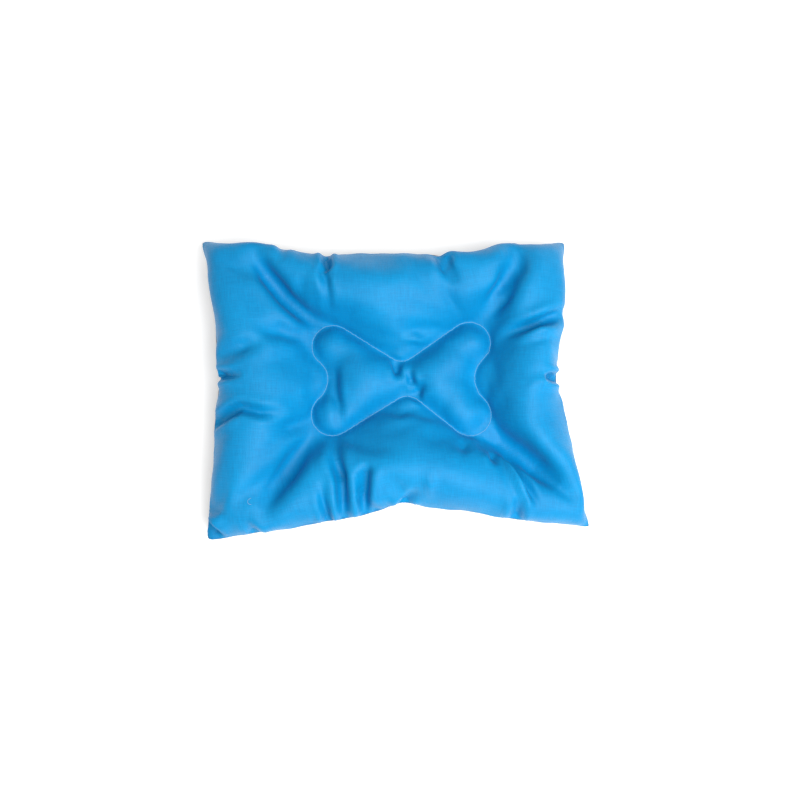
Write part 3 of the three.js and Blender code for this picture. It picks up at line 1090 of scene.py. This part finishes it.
class PILLOW_OT_stage(bpy.types.Operator):
    """Sets up the floor, the lights and the camera"""

    bl_idname = "pillow.stage"
    bl_label = "Stage"

    def execute(self, context):
        stage = context.scene.pillow_stage
        mesh = bpy.data.meshes.new("floor")
        reach = 2
        corners = [(-reach, -reach), (reach, -reach), (reach, reach), (-reach, reach)]
        mesh.from_pydata([(x, y, -MM) for x, y in corners], [], [(0, 1, 2, 3)])
        link("floor", mesh, matt("Floor", (0.95, 0.95, 0.95)))
        world = bpy.data.worlds.new("Studio")
        world.use_nodes = True
        sky = world.node_tree.nodes["Background"].inputs
        sky["Color"].default_value = (1, 1, 1, 1)
        sky["Strength"].default_value = stage.sky
        context.scene.world = world
        aim = MIDDLE.copy()
        aim.z = 30 * MM
        aim += Vector((stage.aim_right, -stage.aim_front, 0))
        lamp = bpy.data.lights.new("Key", "AREA")
        lamp.size = 0.9
        lamp.energy = stage.key
        key = bpy.data.objects.new("Key", lamp)
        key.location = (0.45, -0.4, 1.1)
        key.rotation_euler = (aim - key.location).to_track_quat("-Z", "Y").to_euler()
        context.scene.collection.objects.link(key)
        away = Vector((0, -math.cos(stage.elevation), math.sin(stage.elevation)))
        lens = bpy.data.cameras.new("Camera")
        lens.lens = stage.focal_length
        camera = bpy.data.objects.new("Camera", lens)
        camera.location = aim + away * stage.distance
        camera.rotation_euler = (-away).to_track_quat("-Z", "Y").to_euler()
        context.scene.collection.objects.link(camera)
        context.scene.camera = camera
        context.scene.view_settings.view_transform = "Standard"
        return {"FINISHED"}


class PILLOW_OT_covers(bpy.types.Operator):
    """Cuts, sews and stuffs the two cover panels"""

    bl_idname = "pillow.covers"
    bl_label = "Covers"

    def execute(self, context):
        cloth = Cloth(context.scene.pillow_sizes)
        top, under = cloth.stuff()
        made["cloth"] = cloth
        top = made["top"] = ironed(cloth, top, rounds=6)
        under = rested(ironed(cloth, under, rounds=4))
        made["places"] = {TOP: top, BACK: under}
        looks = context.scene.pillow_colours
        yarn = cloth.sizes.yarn
        blue = woven("Blue weave", looks.blue_shaded, looks.blue_lit, looks, yarn)
        dark = woven("Dark weave", looks.dark_shaded, looks.dark_lit, looks, yarn)
        for name, face, material, node, slot in (
            ("top_cover", TOP, blue, "top_panel", "cover_blue"),
            ("back_cover", BACK, dark, "back_panel", "cover_dark"),
        ):
            piece = cover(name, cloth, made["places"][face], face, material)
            made[face] = piece
            belongs(piece, node)
        return {"FINISHED"}


class PILLOW_OT_fillings(bpy.types.Operator):
    """Fills the ring and the quilted pocket with fibre"""

    bl_idname = "pillow.fillings"
    bl_label = "Fillings"

    def execute(self, context):
        cloth, places = made["cloth"], made["places"]
        in_pocket = enclosed(cloth.flat, cloth.flat[cloth.loop])
        from_loop, from_strip = 5 * MM, 12 * MM
        clear_of_loop = cloth.distance(cloth.loop) > from_loop
        clear_of_strip = cloth.distance(cloth.seam) > cloth.sizes.allowance + from_strip
        fibre = fibrous("Fibre", context.scene.pillow_colours.fibre)
        for name, chosen, node in (
            ("ring_filling", ~in_pocket & clear_of_strip, "ring_fill"),
            ("pocket_filling", in_pocket, "pocket_fill"),
        ):
            chosen &= clear_of_loop
            out = outward(cloth.faces, places[TOP], TOP)
            top = folded(cloth, places[TOP], out, spare=4)
            piece = filling(name, cloth, top, places[BACK], chosen, fibre)
            belongs(piece, node)
        return {"FINISHED"}


class PILLOW_OT_quilting(bpy.types.Operator):
    """Stitches the quilting loop through both covers"""

    bl_idname = "pillow.quilting"
    bl_label = "Quilting"

    def execute(self, context):
        cloth = made["cloth"]
        pale = context.scene.pillow_colours.pale_thread
        thread = made["pale thread"] = spun("Pale thread", pale)
        for name, face, node in (
            ("quilting_stitches_top", TOP, "quilting_needle_thread"),
            ("quilting_stitches_back", BACK, "quilting_bobbin_thread"),
        ):
            path = places_of(made[face], cloth.loop)
            path[:, 2] += face * PROUD * cloth.sizes.thread_diameter
            piece = stitched(name, cloth.sizes, path, True, (0, 0, face), thread)
            belongs(piece, node)
        return {"FINISHED"}


class PILLOW_OT_edge(bpy.types.Operator):
    """Sews and overlocks the turned-in edge"""

    bl_idname = "pillow.edge"
    bl_label = "Edge seam"

    def execute(self, context):
        cloth, sizes = made["cloth"], made["cloth"].sizes
        thread = made["blue thread"] = spun("Blue thread", context.scene.pillow_colours.blue_thread)
        count = len(cloth.seam)
        start, end = (round(share * cloth.front) for share in CLOSING)
        sewn = np.arange(end, count + start + 1) % count
        for name, face, node in (
            ("edge_stitches_top", TOP, "edge_seam_needle_thread"),
            ("edge_stitches_back", BACK, "edge_seam_bobbin_thread"),
        ):
            path = places_of(made[face], len(cloth.flat) + sewn)
            path[:, 2] += face * (sizes.cloth_thickness + PROUD * sizes.thread_diameter)
            piece = stitched(name, sizes, path, False, (0, 0, face), thread)
            belongs(piece, node)
        raw_edge = 0.8
        path = cloth.stuffed[cloth.seam]
        path[:, :2] += cloth.heading * raw_edge * sizes.allowance
        heading = cloth.heading / np.linalg.norm(cloth.heading, axis=1, keepdims=True)
        vectors = {"up": (0, 0, 1), "inward": np.column_stack([heading, np.zeros(count)])}
        settings = {
            "Pitch": 4 * MM,
            "Height": 4.6 * sizes.cloth_thickness + sizes.thread_diameter,
            "Depth": 0.45 * sizes.allowance,
            "Diameter": 0.7 * sizes.thread_diameter,
        }
        piece = sew("edge_overlocking", winding(), path, True, vectors, settings, thread)
        belongs(piece, "edge_overlock_thread")
        return {"FINISHED"}


class PILLOW_OT_closing(bpy.types.Operator):
    """Stitches up the stretch that was left open for stuffing"""

    bl_idname = "pillow.closing"
    bl_label = "Closing"

    def execute(self, context):
        cloth, sizes = made["cloth"], made["cloth"].sizes
        start, end = (round(share * cloth.front) for share in CLOSING)
        seam = cloth.flat[cloth.seam[start : end + 1]]
        from_edge = 2.5 * MM
        flat = seam + cloth.heading[start : end + 1] * from_edge
        for name, face, node in (
            ("closing_stitches_top", TOP, "closing_needle_thread"),
            ("closing_stitches_back", BACK, "closing_bobbin_thread"),
        ):
            outer = places_of(made[face], np.arange(len(cloth.flat)))
            up = on_cloth(cloth, flat, outward(cloth.faces, outer, face))
            path = on_cloth(cloth, flat, outer) + up * PROUD * sizes.thread_diameter
            piece = stitched(name, sizes, path, False, up, made["blue thread"])
            belongs(piece, node)
        return {"FINISHED"}


class PILLOW_OT_loose_thread(bpy.types.Operator):
    """Leaves a snipped end of thread lying on the top cover"""

    bl_idname = "pillow.loose_thread"
    bl_label = "Loose thread"

    def execute(self, context):
        sizes = context.scene.pillow_sizes
        cover = made[TOP].data
        tree = BVHTree.FromPolygons(
            [vertex.co for vertex in cover.vertices], [face.vertices for face in cover.polygons]
        )
        path = []
        for x, y in smooth_path(np.array(CURL) * MM, 30):
            spot, normal, _, _ = tree.ray_cast((x, y, 0.2), (0, 0, -1))
            path.append(spot + normal * 0.6 * sizes.thread_diameter)
        settings = {"Pitch": 8 * MM, "Height": 0.0, "Depth": 0.0, "Diameter": sizes.thread_diameter}
        vectors = {"up": (0, 0, 1), "inward": (0, 1, 0)}
        pale = made["pale thread"]
        piece = sew("loose_thread", winding(), np.array(path), False, vectors, settings, pale)
        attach(piece, "root")
        return {"FINISHED"}


def places_of(piece, points):
    """Where some points of a finished piece are."""
    return np.array([piece.data.vertices[int(i)].co[:] for i in points])


def stitched(name, sizes, path, closed, up, thread):
    settings = {
        "Pitch": sizes.stitch_length,
        "Gap": sizes.stitch_gap,
        "Diameter": sizes.thread_diameter,
    }
    return sew(name, running_stitch(), path, closed, {"up": up}, settings, thread)


def belongs(piece, node):
    """Hangs a piece on the root and hides the CAD node that it stands for."""
    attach(piece, "root")
    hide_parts(node)


class PILLOW_PT_panel(bpy.types.Panel):
    """Lists the pillow's operators"""

    bl_idname = "PILLOW_PT_panel"
    bl_label = "Camp pillow"
    bl_space_type = "VIEW_3D"
    bl_region_type = "UI"
    bl_category = "Pillow"

    def draw(self, context):
        for operator in OPERATORS:
            self.layout.operator(operator.bl_idname)


OPERATORS = (
    PILLOW_OT_stage,
    PILLOW_OT_covers,
    PILLOW_OT_fillings,
    PILLOW_OT_quilting,
    PILLOW_OT_edge,
    PILLOW_OT_closing,
    PILLOW_OT_loose_thread,
)
CLASSES = (PillowSizes, PillowColours, StageSettings, *OPERATORS, PILLOW_PT_panel)


def register():
    for entry in CLASSES:
        bpy.utils.register_class(entry)
    bpy.types.Scene.pillow_sizes = bpy.props.PointerProperty(type=PillowSizes)
    bpy.types.Scene.pillow_colours = bpy.props.PointerProperty(type=PillowColours)
    bpy.types.Scene.pillow_stage = bpy.props.PointerProperty(type=StageSettings)


def unregister():
    del bpy.types.Scene.pillow_stage
    del bpy.types.Scene.pillow_colours
    del bpy.types.Scene.pillow_sizes
    for entry in reversed(CLASSES):
        bpy.utils.unregister_class(entry)


def main():
    register()
    bpy.ops.pillow.stage()
    bpy.ops.pillow.covers()
    bpy.ops.pillow.fillings()
    bpy.ops.pillow.quilting()
    bpy.ops.pillow.edge()
    bpy.ops.pillow.closing()
    bpy.ops.pillow.loose_thread()


if __name__ == "__main__":
    main()
